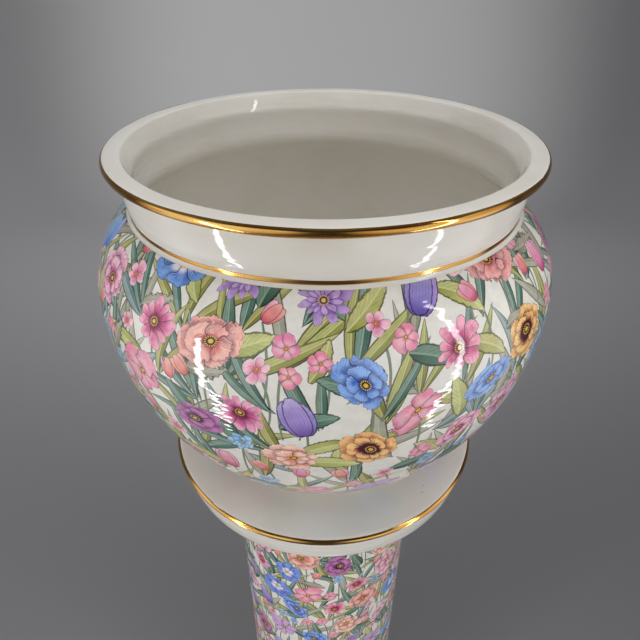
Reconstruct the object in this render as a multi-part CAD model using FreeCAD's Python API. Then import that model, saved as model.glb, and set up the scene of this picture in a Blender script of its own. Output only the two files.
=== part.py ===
import FreeCAD
import Part
import math
import os

# Jardiniere on its pedestal: two slip-cast, glazed earthenware castings with fired-on floral
# transfers and gold bands. The jardiniere stands loose on the pedestal's plate.
# Millimetres, +Z up. The origin is the centre of the pedestal's foot, on the floor, and both
# castings are turned about Z. A place in a profile is a radius from Z and a height.

# ---- Driving dimensions of the jardiniere, with heights up from its own foot ----
jar_height = 300.0
jar_wall = 7.0
rim_radius = 168.2            # outermost, at the rolled edge
rim_roll = 3.5                # radius of the rolled edge
rim_cove = 3.0                # hollow between the rolled edge and the collar
lip_radius = 154.2            # inner edge of the flat lip
lip_rounding = 3.0
lip_flare_depth = 15.0        # height over which the inside narrows from the lip to the collar
lip_flare_rounding = 8.0      # inside, where the flare turns down into the collar
collar_bulge = 2.4            # how far the collar swells past its two ends
neck_radius = 155.0
neck_depth = 39.0             # from the lip down to the collar's lower end
neck_band = 4.0               # height of the plain band that carries the gold line
neck_rounding = 22.0          # inside, where the collar turns out into the shoulder
belly_radius = 190.2
belly_height = 190.0
foot_radius = 98.0
foot_height = 7.0
foot_width = 12.0
foot_recess = 5.0             # hollow under the foot ring
foot_rounding = 1.5
foot_cove = 3.0               # hollow between the body and the foot ring
jar_floor = 9.0
jar_floor_rounding = 14.0

# ---- Driving dimensions of the pedestal ----
pedestal_height = 690.0
pedestal_wall = 8.0
least_rounding = 0.5          # left in a corner inside the hollow that its wall would make sharp
plate_radius = 155.5
plate_edge_height = 35.0
plate_taper = 8.5             # how much narrower the plate's edge is at its lower end
plate_depth = 52.0            # from the plate's top down to where its underside meets the column
plate_lip_rounding = 4.0
plate_edge_rounding = 10.0
plate_cove = 18.0
dish_radius = 112.0           # flat seat for the jardiniere
dish_depth = 1.5
dish_slope = 37.0             # width of the gentle rise from the seat to the plate's lip
dish_rounding = 200.0
column_radius = 100.0
base_radius = 150.0
base_edge_height = 26.0
base_taper = 3.0
base_depth = 60.0             # height at which the base's top meets the column
base_edge_rounding = 8.0
base_cove = 34.0
base_foot_rounding = 2.5

# ---- Decoration ----
layer = 0.35                  # thickness that gold and transfers are drawn at
layer_gap = 0.15              # between a layer and the glaze, so that their curved faces stay apart
rim_gold_from = 60.0          # degrees above level, round the rolled edge
rim_gold_to = -82.0
gold_line = 3.0               # height of a painted line
plate_gold_line = 4.2         # the same on the plate, where it covers the rounded lip
plate_gold_drop = 0.3         # from the plate's top down to its gold line
base_gold_drop = 1.6          # from the base edge's top down to its gold line
print_neck_margin = 1.6       # plain glaze left between the transfer and the neck's plain band
print_foot_margin = 6.0       # the same between the transfer and the foot

# ---- Places that follow from the dimensions above ----
seat_height = pedestal_height - dish_depth
lip_height = seat_height + jar_height
neck_top = lip_height - neck_depth
neck_bottom = neck_top - neck_band
foot_top = seat_height + foot_height
belly_level = seat_height + belly_height
roll_centre = (rim_radius - rim_roll, lip_height - rim_roll)
layer_top = layer_gap + layer


def place(radius, height):
    return FreeCAD.Vector(radius, 0, height)


def line(start, end):
    return Part.makeLine(place(*start), place(*end))


def on_circle(centre, radius, degrees):
    angle = math.radians(degrees)
    return (centre[0] + radius * math.cos(angle), centre[1] + radius * math.sin(angle))


def arc_about(centre, radius, start, end):
    """The arc about a centre from one angle to another, in degrees from the outward radius."""
    ends = [on_circle(centre, radius, degrees) for degrees in (start, (start + end) / 2, end)]
    return Part.Arc(*[place(*end) for end in ends]).toShape()


def bulged(start, end, bulge):
    """The arc from start to end that swells outward past its straight chord by bulge."""
    middle = ((start[0] + end[0]) / 2 + bulge, (start[1] + end[1]) / 2)
    return Part.Arc(place(*start), place(*middle), place(*end)).toShape()


def turned(edges):
    """The solid that a closed profile makes when it is turned about Z."""
    profile = Part.Face(Part.Wire(Part.sortEdges(edges)[0]))
    return profile.revolve(FreeCAD.Vector(0, 0, 0), FreeCAD.Vector(0, 0, 1), 360)


def softened(solid, rings):
    """Rounds the ring-shaped edge at each (radius, height) with that ring's own rounding."""
    for radius, height, rounding in rings:
        edges = [edge for edge in solid.Edges
                 if isinstance(edge.Curve, Part.Circle)
                 and math.hypot(edge.Curve.Radius - radius, edge.Curve.Center.z - height) < 0.01]
        solid = solid.makeFillet(rounding, edges)
    return solid


# ---- Jardiniere ----

def arc_to_belly(end):
    """Centre and radius of the arc that runs upright through the belly and ends at a point."""
    inward = belly_radius - end[0]
    away = end[1] - belly_level
    radius = (inward ** 2 + away ** 2) / (2 * inward)
    return (belly_radius - radius, belly_level), radius


def body_run(low, high, outset):
    """The body's side from one height to another as two arcs that meet upright at the belly."""
    edges = []
    for limit, end, upward in ((low, (foot_radius, foot_top), False),
                               (high, (neck_radius, neck_bottom), True)):
        centre, radius = arc_to_belly(end)
        degrees = math.degrees(math.asin((limit - belly_level) / (radius + outset)))
        span = (0, degrees) if upward else (degrees, 0)
        edges.append(arc_about(centre, radius + outset, *span))
    return edges


def height_on_body(radius, outset):
    """Height at which the shoulder, moved outward by outset, has this radius."""
    centre, shoulder = arc_to_belly((neck_radius, neck_bottom))
    return belly_level + math.sqrt((shoulder + outset) ** 2 - (radius - centre[0]) ** 2)


def end_of(edge):
    return (edge.lastVertex().Point.x, edge.lastVertex().Point.z)


def start_of(edge):
    return (edge.firstVertex().Point.x, edge.firstVertex().Point.z)


def jardiniere():
    """The pot: rolled rim, swelling collar, round belly, foot ring and an even wall."""
    collar_foot = (neck_radius, neck_top)
    collar_head = (neck_radius, lip_height - 2 * rim_roll)
    bore = neck_radius - jar_wall
    inside_neck = (bore, height_on_body(bore, -jar_wall))
    inside_collar = (bore, lip_height - lip_flare_depth)
    lip = (lip_radius, lip_height)
    floor_height = seat_height + foot_recess + jar_floor
    inner_foot = foot_radius - foot_width
    outside = body_run(foot_top, neck_bottom, 0)
    inside = body_run(floor_height, inside_neck[1], -jar_wall)
    edges = [
        line((0, seat_height + foot_recess), (inner_foot, seat_height + foot_recess)),
        line((inner_foot, seat_height + foot_recess), (inner_foot, seat_height)),
        line((inner_foot, seat_height), (foot_radius, seat_height)),
        line((foot_radius, seat_height), (foot_radius, foot_top)),
        *outside,
        line((neck_radius, neck_bottom), collar_foot),
        bulged(collar_foot, collar_head, collar_bulge),
        line(collar_head, on_circle(roll_centre, rim_roll, -90)),
        arc_about(roll_centre, rim_roll, -90, 90),
        line(on_circle(roll_centre, rim_roll, 90), lip),
        line(lip, inside_collar),
        bulged(inside_collar, inside_neck, collar_bulge),
        *inside,
        line(start_of(inside[0]), (0, floor_height)),
        line((0, floor_height), (0, seat_height + foot_recess)),
    ]
    return softened(turned(edges), [
        (*lip, lip_rounding),
        (*collar_head, rim_cove),
        (*inside_collar, lip_flare_rounding),
        (*inside_neck, neck_rounding),
        (*start_of(inside[0]), jar_floor_rounding),
        (inner_foot, seat_height + foot_recess, foot_rounding),
        (inner_foot, seat_height, foot_rounding),
        (foot_radius, seat_height, foot_rounding),
        (foot_radius, foot_top, foot_cove),
    ])


def rim_gilding():
    """Bright gold over the rolled edge of the rim."""
    span = (rim_gold_from, rim_gold_to)
    inner = arc_about(roll_centre, rim_roll + layer_gap, *span)
    outer = arc_about(roll_centre, rim_roll + layer_top, *span)
    return turned([inner, line(end_of(inner), end_of(outer)),
                   outer, line(start_of(outer), start_of(inner))])


def tube(inner, outer, low, high):
    ring = [(inner, low), (outer, low), (outer, high), (inner, high)]
    return turned([line(a, b) for a, b in zip(ring, ring[1:] + ring[:1])])


def layer_tube(radius, low, high):
    """A straight layer round a casting of this radius."""
    return tube(radius + layer_gap, radius + layer_top, low, high)


def neck_gilding():
    """Gold line round the plain band between the collar and the shoulder."""
    middle = (neck_top + neck_bottom) / 2
    return layer_tube(neck_radius, middle - gold_line / 2, middle + gold_line / 2)


def body_print():
    """Floral transfer from the neck down to the foot."""
    low = foot_top + print_foot_margin
    high = neck_bottom - print_neck_margin
    inner = body_run(low, high, layer_gap)
    outer = body_run(low, high, layer_top)
    edges = [*inner, *outer,
             line(start_of(inner[0]), start_of(outer[0])),
             line(end_of(inner[1]), end_of(outer[1]))]
    return turned(edges)


# ---- Pedestal ----

def rounded(corners):
    """Straight runs through (radius, height, rounding) corners, with a tangent arc at each."""
    edges = []
    start = place(*corners[0][:2])
    for before, corner, after in zip(corners, corners[1:], corners[2:]):
        tip, rounding = place(*corner[:2]), corner[2]
        back = (place(*before[:2]) - tip).normalize()
        onward = (place(*after[:2]) - tip).normalize()
        half = back.getAngle(onward) / 2
        reach = rounding / math.tan(half)
        edges.append(Part.makeLine(start, tip + back * reach))
        start = tip + onward * reach
        if rounding:
            inward = (back + onward).normalize()
            middle = tip + inward * (rounding / math.sin(half) - rounding)
            edges.append(Part.Arc(tip + back * reach, middle, start).toShape())
    edges.append(Part.makeLine(start, place(*corners[-1][:2])))
    return edges


def moved_out(corners, outset):
    """The same corners after every run has moved sideways, outward for a positive outset."""
    runs = []
    for start, end in zip(corners, corners[1:]):
        along = (place(*end[:2]) - place(*start[:2])).normalize()
        runs.append((place(*start[:2]) + FreeCAD.Vector(along.z, 0, -along.x) * outset, along))
    result = [(corners[0][0], runs[0][0].z, 0)]
    for (a, along_a), (b, along_b), corner in zip(runs, runs[1:], corners[1:]):
        turn = along_a.x * along_b.z - along_a.z * along_b.x
        step = ((b.x - a.x) * along_b.z - (b.z - a.z) * along_b.x) / turn
        meeting = a + along_a * step
        rounding = corner[2] + math.copysign(outset, turn * outset)
        result.append((meeting.x, meeting.z, max(rounding, least_rounding) if corner[2] else 0))
    return [*result, (corners[-1][0], result[-1][1], 0)]


def turned_from_axis(corners):
    """The solid of a rounded profile whose first and last points lie on the axis."""
    return turned([*rounded(corners), line(corners[-1][:2], corners[0][:2])])


def side_of_pedestal(top):
    """Corners of the pedestal's side, from below the floor up to a flat top."""
    edge_low = pedestal_height - plate_edge_height
    lean = plate_taper / plate_edge_height
    return [
        (0, -base_edge_height, 0),
        (base_radius + base_taper, -base_edge_height, 0),
        (base_radius - base_taper, base_edge_height, base_edge_rounding),
        (column_radius, base_depth, base_cove),
        (column_radius, pedestal_height - plate_depth, plate_cove),
        (plate_radius - plate_taper, edge_low, plate_edge_rounding),
        (plate_radius - plate_taper + lean * (top - edge_low), top, plate_lip_rounding),
        (0, top, 0),
    ]


def pedestal_form(outset, top):
    """The pedestal's outside as a full solid, moved out by outset and cut level at the floor."""
    reach = 2 * (base_radius + plate_radius)
    below = Part.makeBox(2 * reach, 2 * reach, reach, FreeCAD.Vector(-reach, -reach, -reach))
    return turned_from_axis(moved_out(side_of_pedestal(top), outset)).cut(below)


def pedestal():
    """The stand: dished plate, straight column and spread base, hollow and open below."""
    lip_inside = dish_radius + dish_slope
    dish = turned_from_axis([
        (0, seat_height, 0),
        (dish_radius, seat_height, dish_rounding),
        (lip_inside, pedestal_height, 0),
        (lip_inside, pedestal_height + dish_depth, 0),
        (0, pedestal_height + dish_depth, 0),
    ])
    stand = pedestal_form(0, pedestal_height).cut(dish)
    stand = stand.cut(pedestal_form(-pedestal_wall, seat_height))
    foot = [edge for edge in stand.Edges
            if isinstance(edge.Curve, Part.Circle) and abs(edge.Curve.Center.z) < 0.01]
    return stand.makeFillet(base_foot_rounding, foot)


def line_on_pedestal(radius, low, high):
    """Gold line on the pedestal's outside between two heights, clear of the given radius."""
    skin = pedestal_form(layer_top, pedestal_height).cut(pedestal_form(layer_gap, pedestal_height))
    return skin.common(tube(radius, 2 * (base_radius + plate_radius), low, high))


def plate_gilding():
    top = pedestal_height - plate_gold_drop
    return line_on_pedestal(dish_radius + dish_slope, top - plate_gold_line, top)


def base_gilding():
    top = base_edge_height - base_gold_drop
    return line_on_pedestal(column_radius, top - gold_line, top)


def straight_end(corners, index):
    """Distance from a corner to where its rounding runs out."""
    before, corner, after = [place(*point[:2]) for point in corners[index - 1:index + 2]]
    return corners[index][2] / math.tan((before - corner).getAngle(after - corner) / 2)


def column_print():
    """Floral transfer round the straight of the column."""
    side = side_of_pedestal(pedestal_height)
    low = base_depth + straight_end(side, 3)
    high = pedestal_height - plate_depth - straight_end(side, 4)
    return layer_tube(column_radius, low, high)


nodes = {
    "pedestal": pedestal,
    "column_print": column_print,
    "plate_gilding": plate_gilding,
    "base_gilding": base_gilding,
    "jardiniere": jardiniere,
    "body_print": body_print,
    "rim_gilding": rim_gilding,
    "neck_gilding": neck_gilding,
}
os.makedirs("parts", exist_ok=True)
for name, make in nodes.items():
    shape = make()
    shape.exportStep(f"parts/{name}.step")
    print(f"{name}: {len(shape.Solids)} solid, {shape.Volume / 1000:.1f} cm3, valid {shape.isValid()}")
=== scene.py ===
# %% [markdown]
# # A printed jardiniere on its pedestal
# Two glazed earthenware castings, a round-bellied pot and the column that it stands on, carry an
# all-over garden print and a few bands of bright gold. Both are turned forms: everything about
# their shape is in half a cross-section. So each piece here starts as a profile that is spun about
# Z, and the print is drawn on the spun surface by a material, with no picture behind it.

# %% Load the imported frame
import math
import random
import bmesh
import bpy
import numpy as np
from mathutils import Matrix, Vector


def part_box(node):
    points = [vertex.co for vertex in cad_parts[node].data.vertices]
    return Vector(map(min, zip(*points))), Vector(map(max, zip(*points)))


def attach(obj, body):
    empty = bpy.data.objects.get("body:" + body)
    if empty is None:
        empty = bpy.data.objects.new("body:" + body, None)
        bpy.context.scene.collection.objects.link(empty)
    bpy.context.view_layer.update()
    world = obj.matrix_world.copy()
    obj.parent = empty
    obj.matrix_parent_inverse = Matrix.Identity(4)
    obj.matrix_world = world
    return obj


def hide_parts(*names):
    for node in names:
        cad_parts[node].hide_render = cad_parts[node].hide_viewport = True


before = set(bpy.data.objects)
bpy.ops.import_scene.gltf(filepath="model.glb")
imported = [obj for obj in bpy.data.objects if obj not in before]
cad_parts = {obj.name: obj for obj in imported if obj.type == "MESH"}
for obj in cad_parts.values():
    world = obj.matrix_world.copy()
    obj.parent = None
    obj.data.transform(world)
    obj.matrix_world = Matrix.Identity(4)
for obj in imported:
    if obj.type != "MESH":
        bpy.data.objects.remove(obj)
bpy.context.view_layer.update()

MM = 0.001
pot_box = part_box("jardiniere")
stand_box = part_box("pedestal")
SEAT = pot_box[0][2]
LIP = pot_box[1][2]
PLATE_TOP = stand_box[1][2]
print("seat, lip and plate at", [round(height, 4) for height in (SEAT, LIP, PLATE_TOP)])

# %% [markdown]
# ## Profiles
# A thrown or cast pot reads as true when its curves flow into each other. The profile could be a
# hand-placed string of points, but then every bulge shows facets or a wobble. Arcs that meet with
# one tangent are what a potter's template has, so two small helpers make them: one walks round a
# centre, and one rounds the corners of straight runs.


# %% Helpers that walk a profile
def arc(centre, radius, start, end, step=3 * MM):
    """Points round a centre from one angle to another, in degrees from the outward radius."""
    count = max(4, math.ceil(abs(math.radians(end - start)) * radius / step))
    angles = [math.radians(start + (end - start) * i / count) for i in range(count + 1)]
    return [(centre[0] + radius * math.cos(a), centre[1] + radius * math.sin(a)) for a in angles]


def bulged(start, end, bulge):
    """Points on the arc from start to end that swells outward past its upright chord."""
    half = abs(end[1] - start[1]) / 2
    radius = (half ** 2 + bulge ** 2) / (2 * bulge)
    reach = math.degrees(math.asin(half / radius))
    if end[1] < start[1]:
        reach = -reach
    return arc((start[0] + bulge - radius, (start[1] + end[1]) / 2), radius, -reach, reach, 2 * MM)


def rounded(corners):
    """Points through (radius, height, rounding) corners, each with a tangent arc."""
    points = [Vector(corners[0][:2])]
    for before, corner, after in zip(corners, corners[1:], corners[2:]):
        tip = Vector(corner[:2])
        back = (Vector(before[:2]) - tip).normalized()
        onward = (Vector(after[:2]) - tip).normalized()
        half = back.angle(onward) / 2
        middle = tip + (back + onward).normalized() * corner[2] / math.sin(half)
        sweep = math.pi - 2 * half
        first = tip + back * corner[2] / math.tan(half) - middle
        way = 1 if first.cross(tip - middle) > 0 else -1
        count = max(6, math.ceil(sweep * corner[2] / (2 * MM)))
        for i in range(count + 1):
            points.append(middle + Matrix.Rotation(way * sweep * i / count, 2) @ first)
    points.append(Vector(corners[-1][:2]))
    return [tuple(point) for point in points]


# %% [markdown]
# ## Spinning
# Blender could turn a profile with the Screw modifier, but the spin operator leaves a plain mesh
# that can be worked on at once. The points on the axis come out once for each step, so doubles are
# merged afterwards, which also closes the seam and the poles.


# %% Spin a profile into a piece
TURN_STEPS = 192


def spun(name, profile, steps=TURN_STEPS):
    """A closed, smooth piece made by turning a closed profile about Z."""
    form = bmesh.new()
    ring = [form.verts.new((radius, 0, height)) for radius, height in profile]
    starts_on_axis = profile[0][0] == 0
    pairs = zip(ring, ring[1:] if starts_on_axis else ring[1:] + ring[:1])
    edges = [form.edges.new(pair) for pair in pairs]
    bmesh.ops.spin(form, geom=ring + edges, cent=(0, 0, 0), axis=(0, 0, 1),
                   angle=2 * math.pi, steps=steps, use_merge=True)
    bmesh.ops.remove_doubles(form, verts=form.verts, dist=1e-6)
    bmesh.ops.recalc_face_normals(form, faces=form.faces)
    mesh = bpy.data.meshes.new(name)
    form.to_mesh(mesh)
    form.free()
    mesh.shade_smooth()
    piece = bpy.data.objects.new(name, mesh)
    bpy.context.scene.collection.objects.link(piece)
    print(name, "has", len(mesh.polygons), "faces")
    return piece


# %% [markdown]
# ## The pot
# The rim is rolled over and thick, the collar swells a little, and the body is two arcs that meet
# upright at the belly. The wall is even, as slip leaves it in a mould, so the inside follows the
# outside a wall's thickness in.

# %% Sizes of the pot
WALL = 7 * MM
RIM_RADIUS = 168.2 * MM
ROLL = 3.5 * MM
LIP_RADIUS = 154.2 * MM
LIP_ROUNDING = 2 * MM
LIP_FLARE = 15 * MM
NECK_RADIUS = 155 * MM
COLLAR_BULGE = 2.4 * MM
NECK_TOP = LIP - 39 * MM
NECK_BOTTOM = LIP - 43 * MM
BELLY = (190.2 * MM, SEAT + 190 * MM)
FOOT_RADIUS = 98 * MM
FOOT_TOP = SEAT + 7 * MM
FOOT_WIDTH = 12 * MM
FOOT_RECESS = SEAT + 5 * MM
POT_FLOOR = SEAT + 14 * MM
ROLL_CENTRE = (RIM_RADIUS - ROLL, LIP - ROLL)


def arc_to_belly(end):
    """Centre and radius of the arc that runs upright through the belly and ends at a point."""
    inward, away = BELLY[0] - end[0], end[1] - BELLY[1]
    radius = (inward ** 2 + away ** 2) / (2 * inward)
    return (BELLY[0] - radius, BELLY[1]), radius


def body_side(low, high, outset, step=3 * MM):
    """The body's side from one height up to another, moved outward by outset."""
    side = []
    for end, limits in (((FOOT_RADIUS, FOOT_TOP), (low, BELLY[1])),
                        ((NECK_RADIUS, NECK_BOTTOM), (BELLY[1], high))):
        centre, radius = arc_to_belly(end)
        degrees = [math.degrees(math.asin((limit - BELLY[1]) / (radius + outset)))
                   for limit in limits]
        side += arc(centre, radius + outset, *degrees, step)[1 if side else 0:]
    return side


def shoulder_height(radius, outset):
    """Height at which the shoulder, moved outward by outset, has this radius."""
    centre, shoulder = arc_to_belly((NECK_RADIUS, NECK_BOTTOM))
    return BELLY[1] + math.sqrt((shoulder + outset) ** 2 - (radius - centre[0]) ** 2)


# %% The pot itself
def blunted(points, cut):
    """The same points with each sharp turn cut back by a small distance and rounded off."""
    result = [tuple(points[0])]
    for before, point, after in zip(points, points[1:], points[2:]):
        tip = Vector(point)
        back, onward = Vector(before) - tip, Vector(after) - tip
        if (-back).angle(onward, 0) < math.radians(12):
            result.append(tuple(point))
            continue
        reach = min(cut, back.length * 0.45, onward.length * 0.45)
        first, last = tip + back.normalized() * reach, tip + onward.normalized() * reach
        for i in range(6):
            share = i / 5
            result.append(tuple(first * (1 - share) ** 2 + tip * 2 * share * (1 - share) + last * share ** 2))
    return result + [tuple(points[-1])]


def relaxed(points, rounds):
    """A path that has settled: every point but the ends moves again and again to its neighbours' mean."""
    for _ in range(rounds):
        points = [points[0]] + [
            tuple((a + 2 * b + c) / 4 for a, b, c in zip(*trio))
            for trio in zip(points, points[1:], points[2:])] + [points[-1]]
    return points


bore = NECK_RADIUS - WALL
inside_neck = (bore, shoulder_height(bore, -WALL))
flare_end = (bore, LIP - LIP_FLARE)
inside = [*bulged(flare_end, inside_neck, COLLAR_BULGE),
          *reversed(body_side(POT_FLOOR, inside_neck[1], -WALL, 2 * MM)[:-1])]
flare = Vector(flare_end) - Vector((LIP_RADIUS, LIP))
inside = [(LIP_RADIUS + flare.x * share, LIP + flare.y * share)
          for share in (0.3, 0.5, 0.7, 0.85)] + relaxed(inside, 24)
pot_profile = [
    (0, FOOT_RECESS),
    *blunted([(0, FOOT_RECESS), (FOOT_RADIUS - FOOT_WIDTH, FOOT_RECESS), (FOOT_RADIUS - FOOT_WIDTH, SEAT),
              (FOOT_RADIUS, SEAT), (FOOT_RADIUS, FOOT_TOP),
              *body_side(FOOT_TOP, NECK_BOTTOM, 0)[1:]], 1.5 * MM)[1:],
    *blunted([(NECK_RADIUS, NECK_BOTTOM), (NECK_RADIUS, NECK_TOP),
              *bulged((NECK_RADIUS, NECK_TOP), (NECK_RADIUS, LIP - 2 * ROLL - 2 * MM), COLLAR_BULGE)[1:],
              *arc((NECK_RADIUS + 2 * MM, LIP - 2 * ROLL - 2 * MM), 2 * MM, 180, 90, 1 * MM),
              *arc(ROLL_CENTRE, ROLL, -90, 90, 1 * MM)], 0.8 * MM)[1:],
    *blunted([(LIP_RADIUS + 6 * MM, LIP), (LIP_RADIUS, LIP), inside[1]], LIP_ROUNDING)[:-1],
    *relaxed(inside, 3)[1:],
    (FOOT_RADIUS - 20 * MM, POT_FLOOR),
    (0, POT_FLOOR),
]
pot = spun("pot", pot_profile)

# %% [markdown]
# ## The pedestal
# Its plate has a shallow seat, its column is straight and its base spreads for a steady stand. It
# is hollow and open below, so it gets an inside, which a view from underneath shows.

# %% The pedestal
COLUMN_RADIUS = 100 * MM
PLATE_RADIUS = 155.5 * MM
PLATE_LIP = 149 * MM
BASE_RADIUS = 150 * MM
BASE_EDGE = 26 * MM
STAND_WALL = 8 * MM
stand_profile = rounded([
    (0, PLATE_TOP - 9.5 * MM, 0),
    (PLATE_RADIUS - 10.2 * MM, PLATE_TOP - 9.5 * MM, 1 * MM),
    (PLATE_RADIUS - 15.2 * MM, PLATE_TOP - 30.5 * MM, 2 * MM),
    (COLUMN_RADIUS - STAND_WALL, PLATE_TOP - 48 * MM, 26 * MM),
    (COLUMN_RADIUS - STAND_WALL, 55.5 * MM, 42 * MM),
    (BASE_RADIUS - 10.6 * MM, 21.5 * MM, 1 * MM),
    (BASE_RADIUS - STAND_WALL, 0, 2.5 * MM),
    (BASE_RADIUS, 0, 2.5 * MM),
    (BASE_RADIUS - 3 * MM, BASE_EDGE, 8 * MM),
    (COLUMN_RADIUS, 60 * MM, 34 * MM),
    (COLUMN_RADIUS, PLATE_TOP - 52 * MM, 18 * MM),
    (PLATE_RADIUS - 8.5 * MM, PLATE_TOP - 35 * MM, 10 * MM),
    (PLATE_RADIUS, PLATE_TOP, 4 * MM),
    (PLATE_LIP, PLATE_TOP, 14 * MM),
    (112 * MM, SEAT, 200 * MM),
    (0, SEAT, 0),
])
stand = spun("stand", stand_profile)

# %% [markdown]
# ## Bands of gold
# Liquid gold is brushed on while the piece turns on a wheel, so each band is a ring whose edges
# waver a little. It could be a stripe in the glaze's material, but then the printer of the part has
# no band to see. So it is a thin closed ring, a tenth of a millimetre proud of the glaze, with its
# inner side sunk into the wall.


# %% Gilding
PROUD = 0.12 * MM
SUNK = 0.5 * MM
BRUSH_WAVER = 0.22 * MM


def wall_between(profile, low, high, least_radius):
    """The stretch of a profile's outside between two heights, cut into fine steps."""
    fine = []
    for a, b in zip(profile, profile[1:]):
        count = max(1, math.ceil(math.dist(a, b) / (0.3 * MM)))
        fine += [(a[0] + (b[0] - a[0]) * i / count, a[1] + (b[1] - a[1]) * i / count)
                 for i in range(count)]
    kept = [point for point in fine if low <= point[1] <= high and point[0] >= least_radius]
    return sorted(kept, key=lambda point: (point[1], -point[0]))


def brushed_ring(name, wall):
    """A closed ring of gold over a stretch of wall, given from its lower edge to its upper one."""
    path = [Vector(point) for point in wall]
    outer, inner = [], []
    for i, point in enumerate(path):
        along = (path[min(i + 1, len(path) - 1)] - path[max(i - 1, 0)]).normalized()
        outward = Vector((along.y, -along.x))
        outer.append(point + outward * PROUD)
        inner.append(point - outward * SUNK)
    piece = spun(name, [tuple(point) for point in outer + inner[::-1]], 256)
    middle = sum(point.y for point in path) / len(path)
    half = (max(point.y for point in path) - min(point.y for point in path)) / 2
    for vertex in piece.data.vertices:
        turn = math.atan2(vertex.co.y, vertex.co.x)
        side = (vertex.co.z - middle) / half
        waver = math.sin(7 * turn + 2 * side) * 0.5 + math.sin(19 * turn - 3 * side) * 0.3
        vertex.co.z += waver * BRUSH_WAVER * abs(side)
    return piece


neck_middle = (NECK_TOP + NECK_BOTTOM) / 2
rim_gold = brushed_ring("rim_gold", arc(ROLL_CENTRE, ROLL, -82, 60, 0.35 * MM))
neck_gold = brushed_ring("neck_gold", [(NECK_RADIUS, neck_middle + height * MM)
                                       for height in (-1.5, -1, -0.5, 0, 0.5, 1, 1.5)])
plate_gold = brushed_ring("plate_gold", wall_between(stand_profile, PLATE_TOP - 4.5 * MM,
                                                     PLATE_TOP - 0.3 * MM, PLATE_LIP))
base_gold = brushed_ring("base_gold", wall_between(stand_profile, BASE_EDGE - 4.6 * MM,
                                                   BASE_EDGE - 1.6 * MM, COLUMN_RADIUS))

# %% [markdown]
# ## The printed skins
# The print is a sheet of ceramic colour that was soaked off its paper and slid on. It gets its own
# thin skin, a tenth of a millimetre proud of the casting, sunk in at its edges. The skin is made of
# faces about 4 mm wide, because each face will carry the few petals and leaves that cross it.

# %% Skins for the print
SKIN = 0.1 * MM
SKIN_DEPTH = 0.6 * MM
FACE = 4 * MM


def skin(name, outside):
    """A closed skin whose outer side is the given points, bottom to top."""
    inner = [(radius - SKIN_DEPTH, height) for radius, height in outside]
    steps = round(2 * math.pi * max(radius for radius, height in outside) / FACE)
    return spun(name, outside + inner[::-1], steps)


body_outside = body_side(FOOT_TOP + 6 * MM, NECK_BOTTOM - 1.6 * MM, SKIN, FACE)
column_low, column_high = 78 * MM, PLATE_TOP - 64 * MM
column_rows = round((column_high - column_low) / FACE)
column_outside = [(COLUMN_RADIUS + SKIN, column_low + (column_high - column_low) * i / column_rows)
                  for i in range(column_rows + 1)]
body_skin = skin("body_skin", body_outside)
column_skin = skin("column_skin", column_outside)

# %% [markdown]
# ## Arithmetic in a node tree
# The pattern is a set of formulas, and a formula built from loose Math nodes is hard to read. A
# small class wraps a node's output, so that plus, minus and the rest add the Math nodes.


# %% Numbers that flow through a node tree
def feed(socket, value):
    if isinstance(value, Flow):
        socket.id_data.links.new(value.socket, socket)
    else:
        socket.default_value = value


class Flow:
    """An output socket on which arithmetic can be done."""

    def __init__(self, socket):
        self.socket = socket

    def node(self, kind, **settings):
        made = self.socket.id_data.nodes.new(kind)
        for name, value in settings.items():
            setattr(made, name, value)
        return made

    def math(self, operation, *others, first=None):
        made = self.node("ShaderNodeMath", operation=operation)
        values = (self, *others) if first is None else (first, self)
        for socket, value in zip(made.inputs, values):
            feed(socket, value)
        return Flow(made.outputs[0])

    def __add__(self, other):
        return self.math("ADD", other)

    def __sub__(self, other):
        return self.math("SUBTRACT", other)

    def __rsub__(self, other):
        return self.math("SUBTRACT", first=other)

    def __mul__(self, other):
        return self.math("MULTIPLY", other)

    def __truediv__(self, other):
        return self.math("DIVIDE", other)

    def __pow__(self, other):
        return self.math("POWER", other)

    def __abs__(self):
        return self.math("ABSOLUTE")

    def fraction(self):
        return self.math("FRACT")

    def ease(self, start, end):
        """0 up to start and 1 from end on, with a smooth rise between. The two may be swapped."""
        made = self.node("ShaderNodeMapRange", interpolation_type="SMOOTHSTEP")
        for name, value in (("Value", self), ("From Min", start), ("From Max", end)):
            feed(made.inputs[name], value)
        return Flow(made.outputs["Result"])

    def parts(self):
        made = self.node("ShaderNodeSeparateXYZ")
        feed(made.inputs[0], self)
        return [Flow(output) for output in made.outputs]

    def towards(self, other, share, blend="MIX"):
        """This colour mixed with another by a share."""
        made = self.node("ShaderNodeMix", data_type="RGBA", blend_type=blend)
        for index, value in ((0, share), (6, self), (7, other)):
            feed(made.inputs[index], value)
        return Flow(made.outputs[2])


def linear(red, green, blue):
    """A colour as it looks on screen, 0 to 255, turned into the light that it stands for."""
    shares = [channel / 255 for channel in (red, green, blue)]
    return tuple(c / 12.92 if c <= 0.04045 else ((c + 0.055) / 1.055) ** 2.4 for c in shares)


def table(index, rows):
    """Looks a row of up to three numbers up by its index, as a stepped colour ramp."""
    made = index.node("ShaderNodeValToRGB")
    ramp = made.color_ramp
    ramp.interpolation = "CONSTANT"
    for i, row in enumerate(rows):
        stop = ramp.elements[i] if i < 2 else ramp.elements.new(i / len(rows))
        stop.position = i / len(rows)
        stop.color = (*row, 1)
    feed(made.inputs[0], index * (1 / len(rows)))
    return Flow(made.outputs[0])


# %% [markdown]
# ## Two motifs
# A hand-drawn garden print has two sorts of shape: a flower seen from the front, which is rings of
# petals round an eye, and a long shape with a spine, which is a leaf, a stem or a petal seen from
# the side. Each is one node group. It is handed a place within the motif and a number whose whole
# part says which kind to draw and whose fraction shifts its tint, and it paints over the colour
# below. Every kind is a row in a table, so a new flower is one line.

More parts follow.
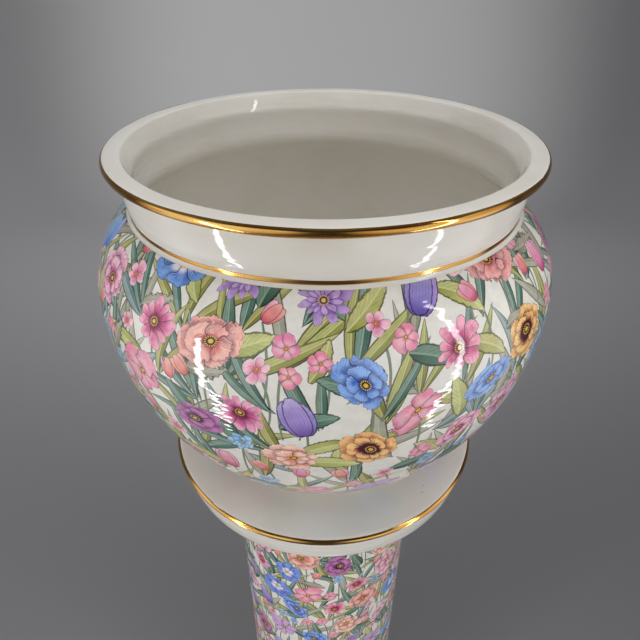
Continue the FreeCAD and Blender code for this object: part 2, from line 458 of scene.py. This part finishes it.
# %% Kinds of flower
# petals, cleft, bluntness, ruffle, size of the front ring, reach of the throat; then the colours of
# the throat, the petal and the petal's edge
FLOWERS = {
    "windflower": (5, 0.15, 2.6, 0.10, 0.70, 0.36, (84, 26, 72), (216, 116, 164), (246, 200, 216)),
    "poppy": (4, 0.10, 3.0, 0.12, 0.74, 0.34, (78, 24, 34), (236, 140, 128), (250, 196, 182)),
    "blanket_flower": (6, 0.13, 2.4, 0.08, 0.72, 0.62, (74, 14, 34), (232, 132, 84), (252, 204, 138)),
    "dog_rose": (5, 0.20, 3.2, 0.10, 0.00, 0.26, (208, 74, 120), (248, 196, 204), (234, 132, 162)),
    "cosmos": (7, 0.20, 3.6, 0.10, 0.00, 0.22, (120, 62, 128), (214, 186, 226), (204, 166, 212)),
    "love_in_a_mist": (7, 0.34, 1.7, 0.14, 0.66, 0.24, (60, 80, 150), (124, 170, 230), (178, 210, 246)),
    "morning_glory": (5, 0.10, 2.4, 0.05, 0.00, 0.44, (236, 238, 250), (66, 104, 204), (126, 160, 230)),
    "blue_cup": (5, 0.14, 2.6, 0.08, 0.66, 0.40, (26, 30, 66), (78, 122, 214), (150, 186, 240)),
    "peony": (7, 0.16, 2.4, 0.14, 0.64, 0.34, (198, 62, 108), (240, 156, 184), (252, 212, 220)),
    "salmon_peony": (6, 0.16, 2.4, 0.14, 0.62, 0.32, (198, 78, 70), (238, 152, 138), (252, 212, 194)),
    "aster": (11, 0.36, 1.9, 0.07, 0.62, 0.26, (88, 48, 116), (160, 116, 188), (200, 168, 220)),
    "mallow": (5, 0.13, 3.0, 0.09, 0.68, 0.50, (46, 14, 48), (150, 66, 132), (202, 132, 182)),
    "rose_mallow": (5, 0.12, 3.0, 0.10, 0.66, 0.46, (96, 16, 60), (224, 104, 152), (250, 196, 212)),
    "painted_daisy": (10, 0.26, 2.4, 0.06, 0.00, 0.42, (128, 24, 68), (226, 104, 150), (248, 182, 200)),
    "primrose": (5, 0.30, 2.6, 0.05, 0.00, 0.34, (206, 72, 114), (242, 166, 188), (250, 208, 216)),
}

# %% Kinds of leaf, stem and side petal
# bluntness, ruffle, veins along and across, their depth, split down the spine; then the colours of
# the root, the face and the tip
BLADES = {
    "stem": (5.0, 0.0, 0, 0, 0.0, 0.0, (112, 124, 106), (128, 138, 118), (136, 146, 126)),
    "teal_blade": (1.0, 0.03, 0, 3, 0.40, 0.6, (52, 82, 72), (84, 120, 106), (154, 178, 162)),
    "blue_blade": (1.0, 0.03, 0, 3, 0.35, 0.5, (84, 108, 112), (118, 142, 142), (178, 192, 188)),
    "olive_blade": (1.0, 0.03, 0, 3, 0.40, 0.6, (104, 108, 52), (152, 152, 84), (206, 204, 140)),
    "sage_blade": (1.0, 0.04, 0, 3, 0.30, 0.4, (134, 138, 118), (166, 166, 146), (202, 198, 182)),
    "dark_leaf": (1.25, 0.07, 8, -3, 0.45, 0.6, (46, 76, 64), (78, 112, 96), (138, 166, 146)),
    "lime_leaf": (1.25, 0.12, 8, -3, 0.40, 0.5, (142, 146, 74), (184, 184, 112), (218, 216, 156)),
    "grey_leaf": (1.3, 0.42, 8, -3, 0.45, 0.4, (116, 118, 100), (158, 156, 138), (196, 192, 174)),
    "violet_petal": (2.2, 0.10, 0, 4, 0.3, 0.0, (112, 88, 168), (164, 146, 210), (212, 200, 236)),
    "blue_petal": (2.2, 0.12, 0, 4, 0.3, 0.0, (76, 114, 200), (140, 178, 234), (200, 220, 246)),
    "pink_petal": (2.2, 0.10, 0, 4, 0.3, 0.0, (196, 76, 122), (234, 156, 182), (250, 216, 222)),
    "bud_petal": (2.0, 0.06, 0, 3, 0.3, 0.0, (204, 96, 98), (236, 156, 146), (248, 206, 190)),
}
LINE_TINT = (0.16, 0.12, 0.16, 1)     # outlines are the colour below them, darkened by this
SHADE_TINT = (0.42, 0.34, 0.46, 1)    # where one petal lies in the shade of another
YELLOW = (*linear(226, 190, 84), 1)


# %% What the two groups share
def motif_group(name):
    """An empty node group for a motif, its inputs by name, and the socket for its result."""
    group = bpy.data.node_groups.new(name, "ShaderNodeTree")
    for item, kind in (("Under", "NodeSocketColor"), ("Place", "NodeSocketVector"),
                       ("Waver", "NodeSocketFloat"), ("Ruffle", "NodeSocketFloat"),
                       ("Wash", "NodeSocketFloat")):
        group.interface.new_socket(item, in_out="INPUT", socket_type=kind)
    group.interface.new_socket("Colour", in_out="OUTPUT", socket_type="NodeSocketColor")
    entry = group.nodes.new("NodeGroupInput")
    leave = group.nodes.new("NodeGroupOutput")
    return group, {output.name: Flow(output) for output in entry.outputs if output.name}, leave.inputs[0]


def place_in_motif(given):
    """Across, up and code. The sum adds nothing: it makes each motif wait for the one below it, so
    that the renderer never holds the working values of all the motifs at once."""
    across, up, code = given["Place"].parts()
    nothing = (given["Under"].parts()[0] - 8).math("MAXIMUM", 0.0)
    return across + nothing, up, code + nothing


def tinted(colour, jitter, wash):
    """Colours differ a little from flower to flower, and pool a little within one, as wash does."""
    shift = colour.node("ShaderNodeHueSaturation")
    feed(shift.inputs["Hue"], (jitter - 0.5) * 0.04 + 0.5)
    feed(shift.inputs["Value"], wash * 0.5 + jitter * 0.12 + 0.7)
    feed(shift.inputs["Color"], colour)
    return Flow(shift.outputs[0])


# %% A flower from the front
def flower_group():
    group, given, result = motif_group("flower")
    rows = list(FLOWERS.values())
    across, up, code = place_in_motif(given)
    jitter = code.fraction()
    petals, cleft, blunt = table(code, [(r[0] / 20, r[1], r[2] / 5) for r in rows]).parts()
    ruffle, front_size, throat = table(code, [(r[3] * 4, r[4], r[5]) for r in rows]).parts()
    throat_colour, petal_colour, edge_colour = [
        table(code, [linear(*row[column]) for row in rows]) for column in (6, 7, 8)]
    reach = (across * across + up * up + 1e-5) ** 0.5
    turn = up.math("ARCTAN2", across) * (0.5 / math.pi) + 0.5
    count = petals * 20
    sway = (turn * math.tau + jitter * 40).math("SINE")
    spread = (turn + sway * 0.035) * count + given["Waver"] * 1.4
    wave = ruffle * (given["Ruffle"] - 0.5) * 0.5 + given["Waver"] * 0.12
    petal_width = reach * math.pi / count

    def ring(shift, size):
        """One ring of petals: where its rim is, how far from the middle of a petal, its outline."""
        off = (spread + shift).fraction() - 0.5
        which = (spread + shift).math("FLOOR").math("FLOORED_MODULO", count)
        short = (which * 2.4 + jitter * 30).math("SINE") * 0.07 + 0.07
        lobe = abs(off) * 2
        rim = (1 - cleft * lobe ** (blunt * 5) - wave - short - (sway + 1) * 0.11) * size
        seam = ((1 - lobe) * petal_width).ease(0.022, 0.008)
        outline = (rim - reach).ease(0.032, 0.016)
        return off, rim, seam.math("MAXIMUM", outline)

    def painted(off, rim, outline, light):
        """The colour of a ring: pale towards the rim, dark in the throat, shaded on one side."""
        along = reach / rim
        rays = abs((off * 9 + given["Waver"] * 2).fraction() - 0.5)
        colour = petal_colour.towards(edge_colour, (along + (given["Wash"] - 0.5) * 1.2).ease(0.35, light))
        colour = tinted(colour, jitter, given["Wash"])
        colour = colour.towards(petal_colour, rays.ease(0.3, 0.02) * along.ease(0.6, 0.95) * 0.5)
        colour = colour.towards(throat_colour, rays.ease(0.24, 0.02) * along.ease(1.0, 0.35) * 0.45)
        blotch = along + rays * 0.34
        colour = colour.towards(throat_colour, blotch.ease(throat + 0.16, throat - 0.04))
        colour = colour.towards(SHADE_TINT, off.ease(0.12, 0.5) * 0.5, "MULTIPLY")
        return colour.towards(LINE_TINT, outline * 0.85, "MULTIPLY")

    back_off, back_rim, back_line = ring(0.0, 1.0)
    front_off, front_rim, front_line = ring(0.5, front_size)
    in_front = (front_rim - reach).ease(0.0, 0.016)
    back = painted(back_off, back_rim, back_line, 0.95)
    back = back.towards(SHADE_TINT, (reach - front_rim).ease(0.16, 0.0) * 0.6, "MULTIPLY")
    front = painted(front_off, front_rim, front_line, 0.8)
    colour = back.towards(front, in_front)
    stamens = abs((turn * 15).fraction() - 0.5).ease(0.36, 0.16) * abs(reach - 0.14).ease(0.035, 0.012)
    colour = colour.towards(YELLOW, stamens)
    colour = colour.towards(YELLOW, reach.ease(0.085, 0.065))
    colour = colour.towards(LINE_TINT, abs(reach - 0.08).ease(0.022, 0.008) * 0.8, "MULTIPLY")
    inside = (back_rim.math("MAXIMUM", front_rim) - reach).ease(0.0, 0.016)
    feed(result, given["Under"].towards(colour, inside))
    return group


# %% A leaf, stem or side petal
def blade_group():
    group, given, result = motif_group("blade")
    rows = list(BLADES.values())
    along, across, code = place_in_motif(given)
    jitter = code.fraction()
    blunt, ruffle, depth = table(code, [(r[0] / 5, r[1] * 3, r[4]) for r in rows]).parts()
    slant_along, slant_across, split = table(
        code, [(r[2] / 10, (r[3] + 5) / 10, r[5]) for r in rows]).parts()
    root, face, tip = [table(code, [linear(*row[column]) for row in rows]) for column in (6, 7, 8)]
    lengthwise = along.math("MAXIMUM", 0.0) ** 0.85 * 2 - 1 - along.ease(0.0, -0.02)
    taper = 1 - lengthwise * lengthwise
    side = abs(across)
    fill = taper - side ** (blunt * 5) - ruffle * (given["Ruffle"] - 0.35) * 0.9
    steep = taper.math("MAXIMUM", 0.0) * 0.6 + 0.4
    line = fill.ease(steep * 0.30, steep * 0.18)
    veins = along * slant_along * 10 + across.math("ABSOLUTE") / steep * (slant_across * 10 - 5)
    vein = abs((veins + given["Waver"]).fraction() - 0.5)
    colour = root.towards(face, along.ease(0.0, 0.45))
    colour = colour.towards(tip, along.ease(0.5, 1.05) * 0.7)
    colour = colour.towards(tip, across.ease(-0.08, 0.10) * split)
    colour = tinted(colour, jitter, given["Wash"])
    colour = colour.towards(root, vein.ease(0.2, 0.02) * depth)
    colour = colour.towards(tip, side.ease(0.11, 0.05) * split * 1.4)
    colour = colour.towards(LINE_TINT, line * 0.85, "MULTIPLY")
    feed(result, given["Under"].towards(colour, fill.ease(0.0, steep * 0.12)))
    return group


flower_nodes, blade_nodes = flower_group(), blade_group()
print("flower and blade have", len(flower_nodes.nodes), "and", len(blade_nodes.nodes), "nodes")

# %% [markdown]
# ## Laying out the garden
# The layout is done on the unrolled wall, where a place is a turn about Z and a way up along the
# profile. A motif measures distances from its own middle with the girth that the wall has there, so
# a flower stays round where the belly draws in. A face holds a few slots for each sort of motif, and
# whatever is laid first takes the topmost slot.


# %% The unrolled wall
class Wall:
    """Where a skin's faces lie on its unrolled side, and the motifs that they carry."""

    def __init__(self, piece, profile, scale):
        self.scale = scale
        mesh = piece.data
        places = np.empty(len(mesh.vertices) * 3)
        mesh.vertices.foreach_get("co", places)
        places = places.reshape(-1, 3)
        corners = np.empty(len(mesh.loops), dtype=int)
        mesh.loops.foreach_get("vertex_index", corners)
        ways = np.concatenate([[0], np.cumsum([math.dist(a, b) for a, b in zip(profile, profile[1:])])])
        self.radii = ways, [radius for radius, height in profile]
        self.piece = piece
        self.height = float(ways[-1])
        self.girth = np.hypot(places[:, 0], places[:, 1])[corners.reshape(-1, 4)]
        self.turn = np.arctan2(places[:, 1], places[:, 0])[corners.reshape(-1, 4)]
        self.up = np.interp(places[:, 2], [height for radius, height in profile], ways)[corners.reshape(-1, 4)]
        outer = np.interp(self.up, *self.radii) - 0.1 * SKIN_DEPTH
        self.outside = (self.girth > outer).all(axis=1)
        self.slots = {}

    def radius_at(self, up):
        return float(np.interp(up, *self.radii))

    def near(self, turn, up, reach):
        """The outside faces within reach, with their corners' ways to the side and up from a place."""
        radius = self.radius_at(up)
        span = reach + FACE
        rows = np.flatnonzero(self.outside & (np.abs(self.up[:, 0] - up) < span))
        swing = (self.turn[rows] - turn + math.pi) % (2 * math.pi) - math.pi
        near = np.abs(swing[:, 0]) * radius < span * 1.3
        faces = rows[near]
        return faces, swing[near] * (self.girth[faces] + radius) / 2, self.up[faces] - up

    def lay(self, sort, faces, places, code):
        """Gives faces their corners' places in a motif, in the first slot that is free."""
        depth = SLOTS[sort]
        if sort not in self.slots:
            empty = np.zeros((depth, len(self.turn), 4, 3))
            empty[..., :2] = 9.0
            self.slots[sort] = empty, np.zeros(len(self.turn), dtype=int)
        stack, used = self.slots[sort]
        free = used[faces] < depth
        kept = faces[free]
        stack[used[kept], kept, :, :2] = places[free]
        stack[used[kept], kept, :, 2] = code
        used[faces] += 1

    def lay_flower(self, turn, up, kind, radius, spin=0.0, squash=1.0, lean=0.0):
        """Squash flattens the flower along its lean, as when it is seen from one side."""
        radius *= self.scale
        faces, side, rise = self.near(turn, up, radius * 1.1)
        c, s = math.cos(lean), math.sin(lean)
        ahead, across = (c * side + s * rise) / (radius * squash), (c * rise - s * side) / radius
        c, s = math.cos(spin), math.sin(spin)
        places = np.stack([c * ahead - s * across, s * ahead + c * across], axis=-1)
        hit = np.hypot(ahead, across).min(axis=1) < 1.12
        code = list(FLOWERS).index(kind) + dice.uniform(0.1, 0.9)
        self.lay("flower", faces[hit], places[hit], code)

    def lay_blade(self, sort, turn, up, kind, heading, length, width, bend=0.0):
        """Heading is the angle up from level at the root, and bend how far the spine turns left."""
        length, width = length * self.scale, width * self.scale
        faces, side, rise = self.near(turn, up, length * 1.05 + width / 2)
        c, s = math.cos(heading), math.sin(heading)
        ahead, left = c * side + s * rise, c * rise - s * side
        if abs(bend) > 0.02:
            circle = length / abs(bend)
            way = math.copysign(1, bend)
            out = circle - way * left
            along = np.arctan2(ahead, out) * circle / length
            across = way * (circle - np.hypot(ahead, out)) / (width / 2)
        else:
            along, across = ahead / length, left / (width / 2)
        crosses = ((along.min(axis=1) < 1) & (along.max(axis=1) > 0)
                   & (across.min(axis=1) < 1) & (across.max(axis=1) > -1)
                   & (np.ptp(along, axis=1) < 1))
        code = list(BLADES).index(kind) + dice.uniform(0.1, 0.9)
        self.lay(sort, faces[crosses], np.stack([along, across], axis=-1)[crosses], code)

    def scatter(self, room, tries, taken=()):
        """Random places on the wall, each with room round it and clear of the room of those taken."""
        chosen = [tuple(other) for other in taken]
        room *= self.scale
        for _ in range(tries):
            turn, up = dice.uniform(-math.pi, math.pi), dice.uniform(-8 * MM, self.height + 8 * MM)
            if dice.random() > self.radius_at(up) / self.radii[1][len(self.radii[1]) // 2]:
                continue
            others = np.array(chosen).reshape(-1, 3)
            swing = np.abs((others[:, 0] - turn + math.pi) % (2 * math.pi) - math.pi)
            gaps = np.hypot(swing * self.radius_at(up), others[:, 1] - up) - others[:, 2] - room
            if not len(others) or gaps.min() > 0:
                chosen.append((turn, up, room))
        return chosen[len(taken):]

    def write(self):
        """Stores each slot as a corner attribute, the topmost first."""
        for sort, (stack, used) in self.slots.items():
            for i, values in enumerate(stack):
                slot = self.piece.data.attributes.new(f"{sort}_{i}", "FLOAT_VECTOR", "CORNER")
                slot.data.foreach_set("vector", values.reshape(-1))
            lost = np.maximum(used - len(stack), 0).sum() / used.sum()
            print(self.piece.name, sort, "slots hold all but", round(float(lost), 4))


# %% [markdown]
# ## Planting it
# Flowers are scattered with room round each, and their kinds come from bags of all the kinds, dealt out one after
# the other, so that each kind comes up about as often. Small flowers and buds fill the gaps. Then come stems,
# broad leaves and tufts of long blades that share a root and fan out upwards, as they grow in a border.

# %% Plan and lay the garden
dice = random.Random(23)
SLOTS = {"leaf": 6, "flower": 2, "petal": 3}
FLOWER_ROOM = 21 * MM
SIDE_FLOWERS = {
    "tulip": ("violet_petal", ((90, 0.0), (70, 0.5), (110, -0.5)), 34, 17),
    "bellflower": ("blue_petal", ((90, 0.0), (58, 0.7), (122, -0.7), (28, 0.9), (152, -0.9)), 30, 14),
    "crocus": ("pink_petal", ((90, 0.0), (74, 0.3), (106, -0.3)), 28, 13),
}


def lay_side_flower(wall, turn, up, name, lean):
    """A flower seen from the side: petals that rise from one root, the middle one on top."""
    kind, petals, length, width = SIDE_FLOWERS[name]
    root = up - length / 2 * MM * wall.scale
    for heading, bend in petals:
        wall.lay_blade("petal", turn, root, kind, math.radians(heading + lean),
                       length * dice.uniform(0.92, 1.08) * MM, width * MM, bend)


def lay_flowers(wall, flowers):
    bag = []
    for turn, up, _ in flowers:
        if not bag:
            bag = [kind for kind in (*FLOWERS, *SIDE_FLOWERS) if kind != "primrose"]
            dice.shuffle(bag)
        kind = bag.pop()
        if kind in SIDE_FLOWERS:
            lay_side_flower(wall, turn, up, kind, dice.uniform(-40, 40))
        else:
            many = FLOWERS[kind][0] > 8
            wall.lay_flower(turn, up, kind, (dice.uniform(19, 22) if many else dice.uniform(25, 30)) * MM,
                            dice.uniform(0, 6), dice.choice((1.0, 0.9, 0.75, 0.6)), dice.uniform(0.6, 2.5))


def lay_small_flowers(wall, places):
    for turn, up, _ in places:
        lean = dice.uniform(-50, 50)
        if dice.random() < 0.65:
            wall.lay_flower(turn, up, dice.choice(("primrose", "dog_rose", "love_in_a_mist")),
                            dice.uniform(8, 12) * MM, dice.uniform(0, 6))
        else:
            for heading in (90, 74, 106):
                wall.lay_blade("petal", turn, up, dice.choice(("pink_petal", "bud_petal", "bud_petal")),
                               math.radians(heading + lean), 16 * MM, 8 * MM)


def lay_tuft(wall, turn, up):
    """Long blades that fan out upwards from one root."""
    kinds = dice.choice((("teal_blade", "teal_blade", "olive_blade"), ("olive_blade", "sage_blade"),
                         ("teal_blade", "blue_blade", "sage_blade"), ("teal_blade", "olive_blade")))
    lean = dice.gauss(0, 32)
    count = dice.randint(2, 4)
    for i in range(count):
        fan = (i - (count - 1) / 2) * dice.uniform(18, 32)
        wall.lay_blade("leaf", turn + dice.uniform(-3, 3) * MM / wall.radius_at(up), up, dice.choice(kinds),
                       math.radians(90 + lean + fan), dice.uniform(44, 84) * MM,
                       dice.uniform(7, 12) * MM, math.radians(fan) * dice.uniform(0, 1.4)
                       + dice.uniform(-0.7, 0.7))


def lay_greenery(wall, flowers, small):
    for turn, up, _ in wall.scatter(16 * MM, 2000):
        width = dice.uniform(12, 17) * MM
        wall.lay_blade("leaf", turn, up, dice.choice(("dark_leaf", "dark_leaf", "lime_leaf", "grey_leaf")),
                       dice.uniform(-0.6, 3.7), width * dice.uniform(2.2, 3.0), width, dice.uniform(-0.9, 0.9))
    tufts = [(turn, up - 26 * MM, room) for turn, up, room in wall.scatter(14 * MM, 4000)]
    stems = [(turn, up, None) for turn, up, room in (*flowers, *small)]
    plan = tufts + stems
    dice.shuffle(plan)
    for turn, up, room in plan:
        if room:
            lay_tuft(wall, turn, up)
            continue
        lean = dice.uniform(-30, 30)
        wall.lay_blade("leaf", turn, up, "stem", math.radians(270 + lean), dice.uniform(45, 75) * MM,
                       1.8 * MM, math.radians(-lean * 1.6))


def plant(wall):
    flowers = wall.scatter(FLOWER_ROOM, 4000)
    small = wall.scatter(8.5 * MM, 4000, flowers)
    print(wall.piece.name, "carries", len(flowers), "flowers and", len(small), "small ones")
    lay_flowers(wall, flowers)
    lay_small_flowers(wall, small)
    lay_greenery(wall, flowers, small)
    wall.write()


def split(piece, gores, tiers, low, high):
    """Cuts a planted skin into gores and tiers. A small piece keeps its print sharp when it is baked into a
    picture of its own. The normals stay those of the whole, and no cut shows."""
    parts = []
    for gore in range(gores):
        for tier in range(tiers):
            form = bmesh.new()
            form.from_mesh(piece.data)
            outside = []
            for face in form.faces:
                middle = face.calc_center_median()
                turn = math.atan2(middle.y, middle.x) / (2 * math.pi) % 1
                if (int(turn * gores), int((middle.z - low) / (high - low) * tiers)) != (gore, tier):
                    outside.append(face)
            bmesh.ops.delete(form, geom=outside, context="FACES")
            normals = [vert.normal.copy() for vert in form.verts]
            mesh = bpy.data.meshes.new(f"{piece.name}_{gore}_{tier}")
            form.to_mesh(mesh)
            form.free()
            mesh.normals_split_custom_set_from_vertices(normals)
            part = bpy.data.objects.new(mesh.name, mesh)
            bpy.context.scene.collection.objects.link(part)
            parts.append(part)
    bpy.data.objects.remove(piece)
    return parts


for piece, profile, scale in ((body_skin, body_outside, 1.0), (column_skin, column_outside, 0.82)):
    plant(Wall(piece, profile, scale))
body_gores = split(body_skin, 12, 1, 0.0, 2.0)
column_gores = split(column_skin, 4, 2, column_low, column_high)

# %% [markdown]
# ## Finishes
# The glaze is a clear glass over a cream body, so it is one gloss surface with its colour set below
# it. The print lies under the same glass: it shares the gloss, and only the colour changes.


# %% Glaze and print
def new_material(name):
    made = bpy.data.materials.new(name)
    made.use_nodes = True
    shader = made.node_tree.nodes["Principled BSDF"]
    place = made.node_tree.nodes.new("ShaderNodeTexCoord").outputs["Object"]
    return made, shader, Flow(place)


def noise(place, scale, detail=2.0, squeeze=None):
    made = place.node("ShaderNodeTexNoise")
    made.inputs["Scale"].default_value = scale
    made.inputs["Detail"].default_value = detail
    if squeeze:
        stretch = place.node("ShaderNodeMapping")
        stretch.inputs["Scale"].default_value = squeeze
        feed(stretch.inputs["Vector"], place)
        place = Flow(stretch.outputs[0])
    feed(made.inputs["Vector"], place)
    return Flow(made.outputs[0])


def plain(place, red, green, blue):
    made = place.node("ShaderNodeRGB")
    made.outputs[0].default_value = (*linear(red, green, blue), 1)
    return Flow(made.outputs[0])


def glossed(shader, place):
    """The glass that every glazed piece shares, with the faint level ripples left by turning."""
    shader.inputs["Roughness"].default_value = 0.05
    shader.inputs["IOR"].default_value = 1.52
    bump = place.node("ShaderNodeBump")
    bump.inputs["Strength"].default_value = 0.5
    bump.inputs["Distance"].default_value = 0.0011
    feed(bump.inputs["Height"], noise(place, 12.0, 1.0, (1, 1, 4)) + noise(place, 36.0, 1.0, (1, 1, 6)) * 0.8)
    feed(shader.inputs["Normal"], Flow(bump.outputs[0]))


def cream_glaze():
    made, shader, place = new_material("cream_glaze")
    glossed(shader, place)
    pooled = noise(place, 16.0, 3.0).ease(0.42, 0.72)
    colour = plain(place, 233, 229, 221).towards(plain(place, 226, 219, 207), pooled * 0.6)
    speck = noise(place, 240.0, 0.0).ease(0.88, 0.92)
    feed(shader.inputs["Base Color"], colour.towards(plain(place, 150, 128, 104), speck * 0.7))
    return made


def garden_print(slots):
    made, shader, place = new_material("garden_print")
    glossed(shader, place)
    waver = noise(place, 70.0, 1.0) - 0.5
    ruffle = noise(place, 420.0, 1.0)
    wash = noise(place, 150.0, 3.0)
    colour = plain(place, 236, 232, 223).towards(plain(place, 226, 224, 216), wash.ease(0.3, 0.7))
    for sort in ("leaf", "flower", "petal"):
        for i in reversed(range(slots[sort])):
            slot = place.node("ShaderNodeAttribute", attribute_name=f"{sort}_{i}")
            motif = place.node("ShaderNodeGroup",
                               node_tree=flower_nodes if sort == "flower" else blade_nodes)
            for name, value in (("Under", colour), ("Place", Flow(slot.outputs["Vector"])),
                                ("Waver", waver), ("Ruffle", ruffle), ("Wash", wash)):
                feed(motif.inputs[name], value)
            colour = Flow(motif.outputs[0])
    feed(shader.inputs["Base Color"], colour)
    return made


# %% [markdown]
# Fired gold is bright but thin. It shows the brush in faint level streaks, it looks redder where it
# is thin, and handling leaves it a little dull in places.


# %% Gold and floor
def gold_lustre():
    made, shader, place = new_material("gold_lustre")
    shader.inputs["Metallic"].default_value = 1.0
    streak = noise(place, 22.0, 3.0, (1, 1, 22))
    worn = noise(place, 34.0, 4.0)
    colour = plain(place, 218, 174, 100).towards(plain(place, 186, 126, 54), streak.ease(0.36, 0.66))
    feed(shader.inputs["Base Color"], colour.towards(plain(place, 128, 76, 34), worn.ease(0.64, 0.8) * 0.6))
    feed(shader.inputs["Roughness"], worn.ease(0.35, 0.75) * 0.16 + streak * 0.08 + 0.04)
    return made


def studio_floor():
    """A pale floor. Seen or mirrored it carries painted light and shade: a painted shade near the stand and in
    front of it, where the viewer would be, and a painted glow behind it and to the left and right."""
    made, shader, place = new_material("studio_floor")
    path = place.node("ShaderNodeLightPath").outputs
    mirrored = Flow(path["Is Glossy Ray"])
    seen = mirrored.math("MAXIMUM", Flow(path["Is Camera Ray"]))
    across, away, up = place.parts()
    # Painted shade: seen or mirrored, the floor is darker near the stand and in front than the pale grey it
    # lights with.
    behind = away.ease(0.1, 1.9)
    painted_shade_grade = plain(place, 112, 112, 114).towards(plain(place, 186, 186, 188), behind)
    feed(shader.inputs["Base Color"], plain(place, 178, 178, 179).towards(painted_shade_grade, seen))
    shader.inputs["Roughness"].default_value = 0.75
    # Painted glow: the floor gives off light behind the stand, a little more to the left, and left and right in
    # front, there only in mirrors.
    shader.inputs["Emission Color"].default_value = (1, 1, 1, 1)
    painted_glow_behind = (across * across + (away - 3.4) * (away - 3.4)).ease(3.4, 0.0) * 0.22 + across.ease(1.0, -1.6) * 0.05
    painted_glow_at_flanks = abs(across).ease(0.35, 1.4) * away.ease(0.5, -0.2) * mirrored
    feed(shader.inputs["Emission Strength"], (painted_glow_behind + painted_glow_at_flanks) * seen)
    return made


glaze, gold, garden = cream_glaze(), gold_lustre(), garden_print(SLOTS)
for finish, pieces in ((glaze, (pot, stand)), (garden, body_gores + column_gores),
                       (gold, (rim_gold, neck_gold, plate_gold, base_gold))):
    for piece in pieces:
        piece.data.materials.append(finish)

# %% [markdown]
# ## Studio
# A tall soft box stands left and right in front, and a broad one above fills the mouth. The glaze
# mirrors a narrow strip before each tall box instead of the box, which gives it two thin highlights
# and leaves the gold something dark between them to reflect.


# %% Camera, lights and floor
def add_object(name, data):
    made = bpy.data.objects.new(name, data)
    bpy.context.scene.collection.objects.link(made)
    return made


camera = add_object("camera", bpy.data.cameras.new("camera"))
bpy.context.scene.camera = camera
camera.data.lens = 31.5
CAMERA_DIP = 0.602
camera.location = (-3.8 * MM, -441.2 * MM, LIP + 129 * MM)
camera.rotation_euler = (math.radians(90) - CAMERA_DIP, 0, 0)


def soft_box(name, place, aim, size, watts, mirrored):
    light = bpy.data.lights.new(name, "AREA")
    light.shape = "RECTANGLE"
    light.size, light.size_y = size
    light.energy = watts
    made = add_object(name, light)
    made.location = place
    made.rotation_euler = (Vector(aim) - Vector(place)).to_track_quat("-Z", "Y").to_euler()
    made.visible_camera = False
    made.visible_glossy = mirrored
    return made


def stands_at(azimuth, distance, height):
    """A place round the object, with the azimuth in degrees to the right of the camera's side."""
    angle = math.radians(azimuth)
    return (distance * math.sin(angle), -distance * math.cos(angle), height)


MIDDLE = (0, 0, 0.6)
for side, azimuth, height in (("left", -50, 0.52), ("right", 53, 0.80)):
    soft_box(f"{side}_strip", stands_at(azimuth, 0.75, height), (0, 0, height), (0.035, height * 1.84), 1.8, True)
    soft_box(f"{side}_box", stands_at(azimuth, 1.4, 0.9), MIDDLE, (0.6, 1.6), 6.6, False)
soft_box("top_box", (0.0, -0.3, 2.6), MIDDLE, (2.2, 1.8), 20, False)
soft_box("back_box", stands_at(180, 2.0, 1.6), MIDDLE, (1.8, 1.4), 7, False)
world = bpy.data.worlds.new("studio")
bpy.context.scene.world = world
world.use_nodes = True
room = world.node_tree.nodes["Background"]
room.inputs["Color"].default_value = (0.60, 0.61, 0.63, 1)
direction = Flow(world.node_tree.nodes.new("ShaderNodeTexCoord").outputs["Generated"])
feed(room.inputs["Strength"], direction.parts()[1].ease(-0.9, 0.5) * 0.36 + 0.06)

floor = spun("floor", [(0, 0), *[(2.4 * i / 6, 0) for i in range(1, 7)],
                       *arc((2.4, 1.3), 1.3, -84, 0, 0.15), (3.7, 2.6)], 96)
floor.data.materials.append(studio_floor())
bpy.context.scene.view_settings.view_transform = "Standard"

# %% [markdown]
# ## Onto the bodies
# Each piece rides on the body that carries it and stands for its node, whose imported part is kept but hidden.

# %% Ride on the bodies and hide the imported parts
for pieces, body, node, slot in (
        ([pot], "jardiniere", "jardiniere", "glaze"),
        (body_gores, "jardiniere", "body_print", "print"),
        ([rim_gold], "jardiniere", "rim_gilding", "gold"),
        ([neck_gold], "jardiniere", "neck_gilding", "gold"),
        ([stand], "pedestal", "pedestal", "glaze"),
        (column_gores, "pedestal", "column_print", "print"),
        ([plate_gold], "pedestal", "plate_gilding", "gold"),
        ([base_gold], "pedestal", "base_gilding", "gold")):
    for piece in pieces:
        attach(piece, body)
        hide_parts(node)
